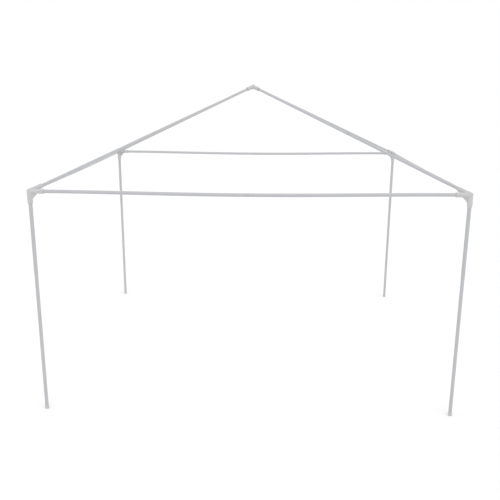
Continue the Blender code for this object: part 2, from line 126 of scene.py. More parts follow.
# Foot cap.
CAP_RADIUS = 0.0170
CAP_HEIGHT = 0.035
CAP_FLOOR = 0.004
CAP_RECESS = 0.0003  # how far the cap's side lies under its lip and its foot
GRIP_HEIGHTS = (0.009, 0.013, 0.017)
GRIP_DEPTH = 0.0004
GRIP_WIDTH = 0.0020

# Snap buttons.
NOSE_RADIUS = 0.0032
NOSE_FLANGE = 0.0006  # how far a nose's foot reaches out past the nose, and up from the strip
NOSE_DOME = 0.0012
RIVET_RADIUS = 0.0014
HOLE_RADIUS = 0.0038
HOLE_CHAMFER = 0.0008
STRIP_THICKNESS = 0.0009
STRIP_WIDTH = 0.006
STRIP_FRONT = 0.006
STRIP_BACK = 0.030
BEND_DEPTH = 0.0030
BEND_STEPS = 12
BEAM_BUTTON_AT = 0.090
LEG_BUTTON_AT = 0.081
JOINT_BUTTON_AT = 0.040
PROUD_OF_SOCKET = 0.0004
PROUD_OF_TUBE = 0.0025

# Camera. Its place is in shares of the frame's side, and its angles are in radians.
CAMERA_PLACE = (0.0409, -2.0671, 0.7778)
CAMERA_LENS = 49.917
CAMERA_SENSOR = 36.0
CAMERA_SHIFT = (0.0107, 0.0711)
CAMERA_TURN = 0.03035  # to the left of straight ahead
CAMERA_TILT = 0.28073  # below the horizon
CAMERA_ROLL = -0.0041

# Studio.
FLOOR_RADIUS = 300.0
FLOOR_THICKNESS = 0.02
LAMP_DIRECTION = (-2.5, 5.0, -8.5)
LAMP_WIDTH = 50  # degrees
LAMP_STRENGTH = 0.55

# Where things are, read from the frame.
leg_low, leg_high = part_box("upper_leg_front_left")
HALF = -(leg_low.x + leg_high.x) / 2
LEG_JOINT_HEIGHT = leg_low.z
EAVE_HEIGHT = leg_high.z + LEG_STOP + FIT_GAP
PEAK_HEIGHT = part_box("crown_connector")[1].z - CROWN_TIP_HEIGHT
SLOPE = math.atan2(PEAK_HEIGHT - EAVE_HEIGHT, HALF * math.sqrt(2))
RAFTER_LENGTH = math.hypot(PEAK_HEIGHT - EAVE_HEIGHT, HALF * math.sqrt(2))
UP = Vector((0, 0, 1))
OUTWARD = Vector((-1, -1, 0)).normalized()  # level, from the peak to the front left corner
UP_RAFTER = -OUTWARD * math.cos(SLOPE) + UP * math.sin(SLOPE)
ROOF_NORMAL = OUTWARD * math.sin(SLOPE) + UP * math.cos(SLOPE)
SIDES = (
    # side, its first corner, where its beam's first and second halves lie, and how far the beam hangs
    ("front", "front_left", "left", "right", FRONT_SAG),
    ("right", "front_right", "front", "back", SIDE_SAG),
    ("back", "back_right", "right", "left", FRONT_SAG),
    ("left", "back_left", "back", "front", SIDE_SAG),
)


# Outlines and turned shapes.


def softened(outline, cut, steps=4, closed=True):
    """An outline with its corners rounded. A corner is cut back by at most cut, and less on short edges."""
    corners = [Vector(point) for point in outline]
    soft = []
    for index, corner in enumerate(corners):
        if not closed and index in (0, len(corners) - 1):
            soft.append(corner)
            continue
        before = corners[index - 1] - corner
        after = corners[(index + 1) % len(corners)] - corner
        reach = min(cut, before.length * 0.45, after.length * 0.45)
        start = corner + before.normalized() * reach
        end = corner + after.normalized() * reach
        for step in range(steps + 1):
            share = step / steps
            soft.append(start.lerp(corner, share).lerp(corner.lerp(end, share), share))
    return [tuple(point) for point in soft]


def with_rings(outline, spacing, extra=()):
    """A closed outline with more points on its long edges, and on both sides of each distance in extra."""
    points = []
    for index, start in enumerate(outline):
        end = outline[(index + 1) % len(outline)]
        length = abs(end[0] - start[0])
        shares = {0.0}
        for step in range(1, int(length / spacing) + 1):
            shares.add(step / (int(length / spacing) + 1))
        for distance in extra:
            share = (distance - start[0]) / (end[0] - start[0]) if length > spacing else -1
            if 0 < share < 1:
                shares.add(share)
        for share in sorted(shares):
            points.append((start[0] + (end[0] - start[0]) * share, start[1] + (end[1] - start[1]) * share))
    return points


def mesh_from_rings(name, rings, closed):
    """Skins rings of equal size. A closed skin joins the last ring to the first, an open one has end caps."""
    shape = bmesh.new()
    loops = [[shape.verts.new(point) for point in ring] for ring in rings]
    pairs = list(zip(loops, loops[1:]))
    if closed:
        pairs.append((loops[-1], loops[0]))
    else:
        shape.faces.new(loops[0])
        shape.faces.new(loops[-1])
    for first, second in pairs:
        for index in range(len(first)):
            after = (index + 1) % len(first)
            shape.faces.new((first[index], first[after], second[after], second[index]))
    bmesh.ops.recalc_face_normals(shape, faces=shape.faces)
    mesh = bpy.data.meshes.new(name)
    shape.to_mesh(mesh)
    shape.free()
    return mesh


def ring(place, distance, radius, sides):
    """Points round a place's Z axis, at a distance along it."""
    points = []
    for index in range(sides):
        angle = 2 * math.pi * index / sides
        points.append(place @ Vector((radius * math.cos(angle), radius * math.sin(angle), distance)))
    return points


def turned(name, profile, sides, place=Matrix(), closed=False):
    """Turns a profile of (distance, radius) points about a place's Z axis."""
    return mesh_from_rings(name, [ring(place, d, r, sides) for d, r in profile], closed)


def along(axis, origin=(0, 0, 0)):
    """A place whose Z runs along an axis from an origin."""
    turn = Vector(axis).to_track_quat("Z", "Y").to_matrix().to_4x4()
    return Matrix.Translation(Vector(origin)) @ turn


def evaluated(item):
    """A new mesh from an object with its modifiers applied. The object is removed."""
    depsgraph = bpy.context.evaluated_depsgraph_get()
    mesh = bpy.data.meshes.new_from_object(item.evaluated_get(depsgraph))
    bpy.data.objects.remove(item, do_unlink=True)
    return mesh


def in_scene(name, mesh):
    """A new object for a mesh, linked to the scene."""
    item = bpy.data.objects.new(name, mesh)
    bpy.context.scene.collection.objects.link(item)
    return item


def combined(name, base, additions=(), cuts=()):
    """One mesh: a base with other meshes joined to it, and then others cut from it."""
    body = in_scene(name, base)
    helpers = []
    steps = [("UNION", mesh) for mesh in additions] + [("DIFFERENCE", mesh) for mesh in cuts]
    for operation, mesh in steps:
        helper = in_scene("tool", mesh)
        helpers.append(helper)
        step = body.modifiers.new(operation, "BOOLEAN")
        step.operation = operation
        step.solver = "EXACT"
        step.object = helper
    mesh = evaluated(body)
    mesh.name = name
    for helper in helpers:
        bpy.data.objects.remove(helper, do_unlink=True)
    return mesh


def smoothed(mesh, angle=34):
    """A mesh shaded smooth, with sharp edges where its faces meet more sharply than an angle."""
    mesh.shade_smooth()
    mesh.set_sharp_from_angle(angle=math.radians(angle))
    return mesh


def marked(mesh, name, strength):
    """Gives a mesh a value at each point, which its material reads by name."""
    attribute = mesh.attributes.new(name, "FLOAT", "POINT")
    for index, vertex in enumerate(mesh.vertices):
        attribute.data[index].value = strength(vertex.co)
    return mesh


def fade(value, start, end):
    """0 at start and 1 at end, with a smooth way between them."""
    share = min(max((value - start) / (end - start), 0.0), 1.0)
    return share * share * (3 - 2 * share)


# Moulded shapes, given by how far a point is outside them, and skinned where that distance is zero.


def bar_distance(points, start, end, radius):
    """How far points are outside a round bar with flat ends."""
    axis = np.array(end, float) - np.array(start, float)
    length = np.linalg.norm(axis)
    offset = points - np.array(start, float)
    reach = offset @ (axis / length)
    sideways = np.linalg.norm(offset - np.outer(reach, axis / length), axis=1) - radius
    endways = np.abs(reach - length / 2) - length / 2
    outside = np.hypot(np.maximum(sideways, 0), np.maximum(endways, 0))
    return outside + np.minimum(np.maximum(sideways, endways), 0)


def plane_distance(points, origin, normal):
    """How far points are in front of a plane."""
    return (points - np.array(origin, float)) @ np.array(normal, float)


def joined(first, second, fillet):
    """The distance outside two shapes together, with a fillet where they meet."""
    share = np.clip(0.5 + 0.5 * (second - first) / fillet, 0, 1)
    return second + (first - second) * share - fillet * share * (1 - share)


def clipped(first, second, rounding):
    """The distance outside the part that two shapes share, with its edges rounded."""
    return -joined(-first, -second, rounding)


def onto_surface(points, field):
    """Points moved to where a field is zero, along its gradient."""
    step = 0.0001
    for _ in range(3):
        slope = np.empty_like(points)
        for axis in range(3):
            shift = np.zeros(3)
            shift[axis] = step
            slope[:, axis] = field(points + shift) - field(points - shift)
        slope /= np.maximum(np.linalg.norm(slope, axis=1), 1e-12)[:, None]
        points = points - slope * field(points)[:, None]
    return points


def moulded(name, rough_shapes, field):
    """The smooth skin of a field, started from rough shapes that together fill about the same space."""
    shape = bmesh.new()
    for rough in rough_shapes:
        shape.from_mesh(rough)
    mesh = bpy.data.meshes.new(name)
    shape.to_mesh(mesh)
    shape.free()
    body = in_scene(name, mesh)
    grid = body.modifiers.new("grid", "REMESH")
    grid.mode = "VOXEL"
    grid.voxel_size = MOULD_GRID
    mesh = evaluated(body)
    count = len(mesh.vertices)
    points = np.empty(count * 3)
    mesh.vertices.foreach_get("co", points)
    points = points.reshape(-1, 3)
    ends = np.empty(len(mesh.edges) * 2, int)
    mesh.edges.foreach_get("vertices", ends)
    ends = ends.reshape(-1, 2)
    neighbours = np.bincount(ends.ravel(), minlength=count)[:, None]
    for _ in range(SMOOTHING_ROUNDS):
        total = np.zeros_like(points)
        np.add.at(total, ends[:, 0], points[ends[:, 1]])
        np.add.at(total, ends[:, 1], points[ends[:, 0]])
        points = onto_surface((points + total / neighbours) / 2, field)
    mesh.vertices.foreach_set("co", points.ravel())
    mesh.update()
    return mesh


# Tubes. Each runs along its local Z, with its weld seam on its local -Y side.


def tube(name, outline, centre_line=lambda distance: Matrix(), holes=(), extra=()):
    """A tube from a closed outline of (distance, radius) points, with button holes at (place, distance)."""
    stations = []
    for distance in extra:
        stations += [distance - 2 * HOLE_RADIUS, distance + 2 * HOLE_RADIUS]
    points = with_rings(softened(outline, TUBE_EDGE), RING_SPACING, stations)
    rings = [ring(centre_line(d), 0.0, r, TUBE_SIDES) for d, r in points]
    mesh = mesh_from_rings(name, rings, closed=True)
    if holes:
        mesh = combined(name, mesh, cuts=holes)
    return mesh


def upright(distance):
    """The centre line of a straight tube."""
    return Matrix.Translation((0, 0, distance))


def hanging(distance, sag):
    """The centre line of an eave beam, from mid-span. It is level in its sockets and at mid-span."""
    free_half = HALF - BEAM_SOCKET_END
    reach = min(abs(distance) / free_half, 1.0)
    drop = sag * (1 - reach**2) ** 2
    rise = 4 * sag * reach * (1 - reach**2) / free_half
    angle = -math.atan(math.copysign(rise, distance))
    return Matrix.Translation((0, -drop, distance)) @ Matrix.Rotation(angle, 4, "X")


def walled(outer):
    """A tube's closed outline, from its outer surface."""
    return outer + [(distance, radius - TUBE_WALL) for distance, radius in reversed(outer)]


def hole_cutter(direction, centre, surface):
    """The cutter for a button's hole, with a slight chamfer where it meets a surface at that radius."""
    profile = [
        (0.0, HOLE_RADIUS),
        (surface - 0.0003, HOLE_RADIUS),
        (surface + 0.0007, HOLE_RADIUS + HOLE_CHAMFER),
        (surface + 0.0040, HOLE_RADIUS + HOLE_CHAMFER),
    ]
    return turned("hole", profile, 28, along(direction, centre))


def beam_swaged_half(sag):
    """The beam half on the -X side, whose end is reduced to slide into the other half."""
    outer = [
        (BEAM_STOP + FIT_GAP - HALF, BEAM_RADIUS),
        (-SPIGOT_TAPER, BEAM_RADIUS),
        (0.0, BEAM_SPIGOT_RADIUS),
        (SPIGOT_LENGTH, BEAM_SPIGOT_RADIUS),
    ]
    at = (BEAM_BUTTON_AT - HALF, JOINT_BUTTON_AT)
    holes = [
        hole_cutter((-1, 0, 0), hanging(at[0], sag).translation, BEAM_RADIUS),
        hole_cutter((-1, 0, 0), hanging(at[1], sag).translation, BEAM_SPIGOT_RADIUS),
    ]
    mesh = tube("beam_swaged_half", walled(outer), lambda d: hanging(d, sag), holes, at)
    return marked(smoothed(mesh), "rubbed", lambda co: fade(co.z, -SPIGOT_TAPER * 3, 0.0))


def beam_plain_half(sag):
    """The beam half on the +X side, whose plain end slides over the other half."""
    outer = [(FIT_GAP, BEAM_RADIUS), (HALF - BEAM_STOP - FIT_GAP, BEAM_RADIUS)]
    at = (JOINT_BUTTON_AT, HALF - BEAM_BUTTON_AT)
    holes = [hole_cutter((-1, 0, 0), hanging(d, sag).translation, BEAM_RADIUS) for d in at]
    mesh = tube("beam_plain_half", walled(outer), lambda d: hanging(d, sag), holes, at)
    return marked(smoothed(mesh), "rubbed", lambda co: 0.5 * fade(co.z, 0.012, 0.001))


def rafter_lower_half():
    """The lower half of a rafter, from the corner node, with a reduced upper end."""
    middle = RAFTER_LENGTH / 2
    outer = [
        (RAFTER_STOP + FIT_GAP, RAFTER_RADIUS),
        (middle - SPIGOT_TAPER, RAFTER_RADIUS),
        (middle, RAFTER_SPIGOT_RADIUS),
        (middle + SPIGOT_LENGTH, RAFTER_SPIGOT_RADIUS),
    ]
    mesh = tube("rafter_lower_half", walled(outer), upright)
    return marked(smoothed(mesh), "rubbed", lambda co: fade(co.z, middle - SPIGOT_TAPER * 3, middle))


def rafter_upper_half():
    """The upper half of a rafter, from the corner node."""
    middle = RAFTER_LENGTH / 2
    outer = [
        (middle + FIT_GAP, RAFTER_RADIUS),
        (RAFTER_LENGTH - CROWN_STOP - FIT_GAP, RAFTER_RADIUS),
    ]
    mesh = tube("rafter_upper_half", walled(outer), upright)
    return marked(smoothed(mesh), "rubbed", lambda co: 0.5 * fade(co.z, middle + 0.012, middle + 0.001))


def upper_leg():
    """The upper leg tube. Its origin is the corner node."""
    bottom = LEG_JOINT_HEIGHT - EAVE_HEIGHT
    outer = [(bottom, UPPER_LEG_RADIUS), (-LEG_STOP - FIT_GAP, UPPER_LEG_RADIUS)]
    at = (-LEG_BUTTON_AT, bottom + JOINT_BUTTON_AT)
    holes = [hole_cutter(OUTWARD, (0, 0, height), UPPER_LEG_RADIUS) for height in at]
    mesh = tube("upper_leg", walled(outer), upright, holes, at)
    seat = -LEG_SOCKET_END
    return marked(smoothed(mesh), "rubbed", lambda co: 0.8 * fade(co.z, seat - 0.004, seat + 0.010))


def lower_leg():
    """The lower leg tube, with the rolled bead that the upper one stands on. Its origin is at the joint."""
    foot = CAP_FLOOR + FIT_GAP - LEG_JOINT_HEIGHT
    bore = LOWER_LEG_RADIUS - TUBE_WALL
    outline = [
        (foot, LOWER_LEG_RADIUS),
        (-BEAD_SHOULDER - BEAD_SLOPE, LOWER_LEG_RADIUS),
        (-BEAD_SHOULDER, BEAD_RADIUS - 0.0003),
        (-0.0040, BEAD_RADIUS),
        (-0.0016, BEAD_RADIUS),
        (-0.0004, BEAD_RADIUS - 0.0004),
        (-0.0004, LOWER_LEG_RADIUS),
        (LEG_OVERLAP, LOWER_LEG_RADIUS),
        (LEG_OVERLAP, bore),
        (foot, bore),
    ]
    holes = [hole_cutter(OUTWARD, (0, 0, JOINT_BUTTON_AT), LOWER_LEG_RADIUS)]
    mesh = tube("lower_leg", outline, upright, holes, [JOINT_BUTTON_AT])
    smoothed(mesh)
    marked(mesh, "rubbed", lambda co: fade(co.z, -0.001, 0.001))
    return marked(mesh, "soiled", lambda co: fade(co.z, foot + SOILED_HEIGHT, foot))


def foot_cap():
    """The plastic cup on the end of a lower leg, with grip rings, a lip and a hollow under its floor."""
    bore = LOWER_LEG_RADIUS + BORE_CLEARANCE
    wall = CAP_RADIUS - CAP_RECESS
    grip = wall - GRIP_DEPTH
    profile = [
        (0.0012, 0.0090),
        (0.0, 0.0105),
        (0.0, CAP_RADIUS),
        (0.0045, CAP_RADIUS),
        (0.0053, wall),
    ]
    for height in GRIP_HEIGHTS:
        profile += [
            (height, wall),
            (height + GRIP_WIDTH * 0.25, grip),
            (height + GRIP_WIDTH * 0.75, grip),
            (height + GRIP_WIDTH, wall),
        ]
    profile += [
        (CAP_HEIGHT - 0.0040, wall),
        (CAP_HEIGHT - 0.0034, CAP_RADIUS),
        (CAP_HEIGHT, CAP_RADIUS),
        (CAP_HEIGHT, bore),
        (CAP_FLOOR, bore),
    ]
    mesh = turned("foot_cap", softened(profile, 0.0016, closed=False), 48)
    smoothed(mesh, 50)
    return marked(mesh, "soiled", lambda co: fade(co.z, 0.020, 0.0))


# Connectors.


def bore_cutter(axis, stop, end, tube_radius):
    """The cutter for a socket's bore, with a lead-in chamfer at its mouth."""
    radius = tube_radius + BORE_CLEARANCE
    profile = [
        (stop, radius),
        (end - LEAD_IN, radius),
        (end, radius + LEAD_IN),
        (end + CUT_THROUGH, radius + LEAD_IN),
    ]
    return turned("bore", profile, 48, along(axis))


def collar(axis, end, radius, length=COLLAR_LENGTH, taper=0.0, narrowing=0.0):
    """The band round a socket's mouth, as a solid disc on its axis."""
    start = end - length
    profile = [
        (start - COLLAR_OVERLAP, radius - COLLAR_OVERLAP),
        (start, radius - COLLAR_HEIGHT - 0.0002),
        (start + 0.0010, radius),
        (end - taper, radius),
        (end, radius - narrowing),
    ]
    if not taper:
        profile.pop(3)
    soft = softened(profile, MOUTH_ROUNDING, closed=False)
    inset = radius - narrowing - MOUTH_ROUNDING
    soft[-1] = (end - MOUTH_ROUNDING, radius - narrowing * (1 - MOUTH_ROUNDING / LEG_MOUTH_TAPER))
    for step in range(1, 5):
        angle = math.pi / 2 * step / 4
        soft.append((end - MOUTH_ROUNDING * (1 - math.sin(angle)), inset + MOUTH_ROUNDING * math.cos(angle)))
    return turned("collar", soft, 64, along(axis))


def corner_field(points):
    """How far points are outside the body of the front left corner connector. Its origin is the node."""
    barrel = BEAM_SOCKET_RADIUS - COLLAR_HEIGHT
    mouth = BEAM_SOCKET_END - COLLAR_OVERLAP
    leg_foot = -UP * (LEG_SOCKET_END - LEG_MOUTH_TAPER - COLLAR_OVERLAP)
    leg = bar_distance(points, leg_foot, UP * LEG_BARREL_TOP, LEG_SOCKET_RADIUS - COLLAR_HEIGHT)
    ridge = BEAM_SOCKET_RADIUS + TOP_SKIN
    height = np.maximum(points @ np.array(ROOF_NORMAL), 0)
    across = points @ np.array(UP.cross(OUTWARD)) * ridge / LEG_SOCKET_RADIUS
    whole = clipped(leg, np.hypot(height, across) - ridge, TOP_ROUNDING)
    for level in (Vector((1, 0, 0)), Vector((0, 1, 0))):
        edge = UP.cross(level)
        thickness = np.abs(points @ np.array(edge)) - GUSSET_THICKNESS / 2
        slant = Vector((LEG_SOCKET_RADIUS - GUSSET_REACH, BEAM_SOCKET_RADIUS - GUSSET_DROP))
        normal = (level * -slant.y + UP * slant.x).normalized()
        free_edge = plane_distance(points, level * GUSSET_REACH - UP * BEAM_SOCKET_RADIUS, normal)
        web = clipped(thickness, free_edge, PLATE_ROUNDING)
        web = np.maximum(web, np.maximum(-points @ np.array(level), points[:, 2]))
        beam = bar_distance(points, (0, 0, 0), level * mouth, barrel)
        whole = joined(whole, beam, MOULDED_FILLET)
        whole = joined(whole, web, MOULDED_FILLET)
    rafter = bar_distance(points, (0, 0, 0), UP_RAFTER * mouth, barrel)
    return joined(whole, rafter, MOULDED_FILLET)


def corner_connector():
    """The moulded front left corner: sockets for a leg, two beams and a rafter. Its origin is the node."""
    axes = (Vector((1, 0, 0)), Vector((0, 1, 0)), UP_RAFTER)
    stops = (BEAM_STOP, BEAM_STOP, RAFTER_STOP)
    leg_core = [(ROUGH_LEG_BOTTOM, ROUGH_LEG_RADIUS), (ROUGH_LEG_TOP, ROUGH_LEG_RADIUS)]
    beam_core = [(0.0, ROUGH_BEAM_RADIUS), (BEAM_SOCKET_END - COLLAR_OVERLAP, ROUGH_BEAM_RADIUS)]
    rough = [turned("rough", leg_core, ROUGH_SIDES)]
    mouth = (LEG_COLLAR_LENGTH, LEG_MOUTH_TAPER, LEG_MOUTH_NARROWING)
    collars = [collar(-UP, LEG_SOCKET_END, LEG_SOCKET_RADIUS, *mouth)]
    cuts = [bore_cutter(-UP, LEG_STOP, LEG_SOCKET_END, UPPER_LEG_RADIUS)]
    for axis, stop, tube_radius in zip(axes, stops, (BEAM_RADIUS, BEAM_RADIUS, RAFTER_RADIUS)):
        rough.append(turned("rough", beam_core, ROUGH_SIDES, along(axis)))
        collars.append(collar(axis, BEAM_SOCKET_END, BEAM_SOCKET_RADIUS))
        cuts.append(bore_cutter(axis, stop, BEAM_SOCKET_END, tube_radius))
    for quarter in (0, 1):
        turn = Matrix.Rotation(quarter * math.pi / 2, 4, "Z")
        outline = [(0.012, 0.0), (GUSSET_REACH, -0.010), (GUSSET_REACH, -BEAM_SOCKET_RADIUS)]
        outline += [(LEG_SOCKET_RADIUS, -GUSSET_DROP), (0.012, -GUSSET_DROP)]
        half = GUSSET_THICKNESS / 2
        faces = [[turn @ Vector((x, y, z)) for x, z in outline] for y in (-half, half)]
        rough.append(mesh_from_rings("rough", faces, closed=False))
    body = moulded("corner_connector", rough, corner_field)
    barrel = BEAM_SOCKET_RADIUS - COLLAR_HEIGHT
    leg_barrel = LEG_SOCKET_RADIUS - COLLAR_HEIGHT
    cuts += [
        hole_cutter((0, -1, 0), (BEAM_BUTTON_AT, 0, 0), barrel),
        hole_cutter((-1, 0, 0), (0, BEAM_BUTTON_AT, 0), barrel),
        hole_cutter(OUTWARD, (0, 0, -LEG_BUTTON_AT), leg_barrel),
    ]
    return smoothed(combined("corner_connector", body, additions=collars, cuts=cuts))


def crown_axes():
    """The directions of the crown's arms, down the slopes."""
    axes = []
    for quarter in range(4):
        angle = math.pi / 4 + quarter * math.pi / 2
        level = Vector((math.cos(angle), math.sin(angle), 0))
        axes.append(level * math.cos(SLOPE) - UP * math.sin(SLOPE))
    return axes


def bent_bar_distance(points, angle, radius, reach):
    """How far points are outside two opposite arms of the crown, mitred upright at the peak."""
    level = np.array((math.cos(angle), math.sin(angle), 0))
    across = np.array((-math.sin(angle), math.cos(angle), 0))
    out = np.abs(points @ level)
    height = out * math.sin(SLOPE) + points[:, 2] * math.cos(SLOPE)
    sideways = np.hypot(points @ across, height) - radius
    endways = out * math.cos(SLOPE) - points[:, 2] * math.sin(SLOPE) - reach
    outside = np.hypot(np.maximum(sideways, 0), np.maximum(endways, 0))
    return outside + np.minimum(np.maximum(sideways, endways), 0)


def crown_field(points):
    """How far points are outside the crown's body. Its origin is the peak node."""
    arm = CROWN_ARM_RADIUS - COLLAR_HEIGHT
    reach = CROWN_ARM_END - COLLAR_OVERLAP
    first = bent_bar_distance(points, math.pi / 4, arm, reach)
    second = bent_bar_distance(points, 3 * math.pi / 4, arm, reach)
    whole = joined(first, second, CROWN_ARM_FILLET)
    boss = bar_distance(points, -UP * CROWN_BOSS_BOTTOM, UP * 0.010, CROWN_BOSS_RADIUS)
    whole = joined(whole, boss, MOULDED_FILLET)
    tip_top = CROWN_TIP_HEIGHT - CROWN_TIP_DIP - CROWN_TIP_RADIUS
    tip = np.linalg.norm(points - np.array((0, 0, tip_top)), axis=1) - CROWN_TIP_RADIUS
    return joined(whole, tip, CROWN_TIP_FILLET)


def crown_connector():
    """The moulded peak: four arms down the slopes, joined at a boss with a small rounded tip."""
    boss_core = [(-CROWN_BOSS_BOTTOM, ROUGH_BEAM_RADIUS), (ROUGH_TIP_HEIGHT, ROUGH_TIP_RADIUS)]
    arm_core = [(-0.004, ROUGH_CROWN_RADIUS), (CROWN_ARM_END - COLLAR_OVERLAP, ROUGH_CROWN_RADIUS)]
    rough = [turned("rough", boss_core, ROUGH_SIDES)]
    collars = []
    cuts = []
    for axis in crown_axes():
        rough.append(turned("rough", arm_core, ROUGH_SIDES, along(axis)))
        collars.append(collar(axis, CROWN_ARM_END, CROWN_ARM_RADIUS))
        cuts.append(bore_cutter(axis, CROWN_STOP, CROWN_ARM_END, RAFTER_RADIUS))
    body = moulded("crown_connector", rough, crown_field)
    return smoothed(combined("crown_connector", body, additions=collars, cuts=cuts))


# Snap buttons. Each has X along its tube and Z out through the hole, from the tube's axis.


def snap_button(name, tube_bore, nose_top):
    """A domed nose riveted to a spring strip, which is bent back on itself inside the tube."""
    face = math.sqrt(tube_bore**2 - (STRIP_WIDTH / 2) ** 2) - FIT_GAP
    tail = -tube_bore / 4
    bend = []
    for step in range(BEND_STEPS + 1):
        angle = math.pi / 2 + math.pi * step / BEND_STEPS
        bend.append((math.cos(angle), math.sin(angle)))
    centre = face - BEND_DEPTH / 2
    outer = [(BEND_DEPTH / 2 * x - STRIP_BACK, BEND_DEPTH / 2 * z + centre) for x, z in bend]
    inner_radius = BEND_DEPTH / 2 - STRIP_THICKNESS
    inner = [(inner_radius * x - STRIP_BACK, inner_radius * z + centre) for x, z in reversed(bend)]
    outline = [(STRIP_FRONT, face), *outer, (STRIP_FRONT, tail - STRIP_THICKNESS), (STRIP_FRONT, tail)]
    outline += [*inner, (STRIP_FRONT, face - STRIP_THICKNESS)]
    half = STRIP_WIDTH / 2
    edge = 0.0002
    rings = []
    for y, inset in ((-half, edge), (edge - half, 0.0), (half - edge, 0.0), (half, edge)):
        rings.append([(x, y, z - math.copysign(inset, z - tail) if x > 0 else z) for x, z in outline])
    strip = mesh_from_rings("strip", rings, closed=False)
    flange = NOSE_RADIUS + NOSE_FLANGE
    profile = [(face - STRIP_THICKNESS / 2, flange), (face + 0.0004, flange)]
    profile += [(face + NOSE_FLANGE, NOSE_RADIUS)]
    for step in range(6):
        angle = math.pi / 2 * step / 5.5
        profile.append((nose_top - NOSE_DOME * (1 - math.sin(angle)), NOSE_RADIUS * math.cos(angle)))
    nose = turned("nose", profile, 32)
    rivet_ends = (face - STRIP_THICKNESS - 0.0005, face - 0.0004)
    rivet = turned("rivet", [(distance, RIVET_RADIUS) for distance in rivet_ends], 20)
    return smoothed(combined(name, strip, additions=[nose, rivet]))


def pointing(place, tube_axis, outward):
    """Where a button goes: its X along the tube and its Z outward."""
    x_axis = Vector(tube_axis).normalized()
    z_axis = Vector(outward).normalized()
    turn = Matrix((x_axis, z_axis.cross(x_axis), z_axis)).transposed().to_4x4()
    return Matrix.Translation(Vector(place)) @ turn


# Materials.


def add(tree, kind, inputs=None, **settings):
    """Adds a shader node. An input is a number, a colour or another node's output."""
    made = tree.nodes.new("ShaderNode" + kind)
    for key, value in settings.items():
        setattr(made, key, value)
    for key, value in (inputs or {}).items():
        if isinstance(value, bpy.types.NodeSocket):
            tree.links.new(value, made.inputs[key])
        else:
            made.inputs[key].default_value = value
    return made


def new_material(name):
    """An empty node material: its tree, its Principled shader and its object coordinates."""
    made = bpy.data.materials.new(name)
    made.use_nodes = True
    tree = made.node_tree
    return made, tree, tree.nodes["Principled BSDF"], tree.nodes.new("ShaderNodeTexCoord").outputs["Object"]


def noise(tree, coordinates, scale, detail=2.0, stretch=(1, 1, 1)):
    """Noise of a scale in marks to the metre, stretched along the axes."""
    moved = add(tree, "Mapping", {"Vector": coordinates, "Scale": stretch})
    made = add(tree, "TexNoise", {"Vector": moved.outputs["Vector"], "Scale": scale, "Detail": detail})
    return made.outputs["Fac"]


def ranged(tree, value, low, high, to_low=0.0, to_high=1.0):
    """A value taken from one range to another, and held inside it."""
    inputs = {"Value": value, "From Min": low, "From Max": high, "To Min": to_low, "To Max": to_high}
    return add(tree, "MapRange", inputs).outputs["Result"]


def maths(tree, operation, first, second):
    """The result of a Math node."""
    return add(tree, "Math", {0: first, 1: second}, operation=operation).outputs["Value"]


def mixed(tree, share, first, second):
    """A colour mixed from two others."""
    made = add(tree, "Mix", data_type="RGBA")
    for index, value in ((0, share), (6, first), (7, second)):
        if isinstance(value, bpy.types.NodeSocket):
            tree.links.new(value, made.inputs[index])
        else:
            made.inputs[index].default_value = value if index == 0 else (*value, 1.0)
    return made.outputs[2]


def bumped(tree, height, distance, strength=1.0, under=None):
    """A normal from a height, on top of another normal."""
    inputs = {"Height": height, "Distance": distance, "Strength": strength}
    if under is not None:
        inputs["Normal"] = under
    return add(tree, "Bump", inputs).outputs["Normal"]


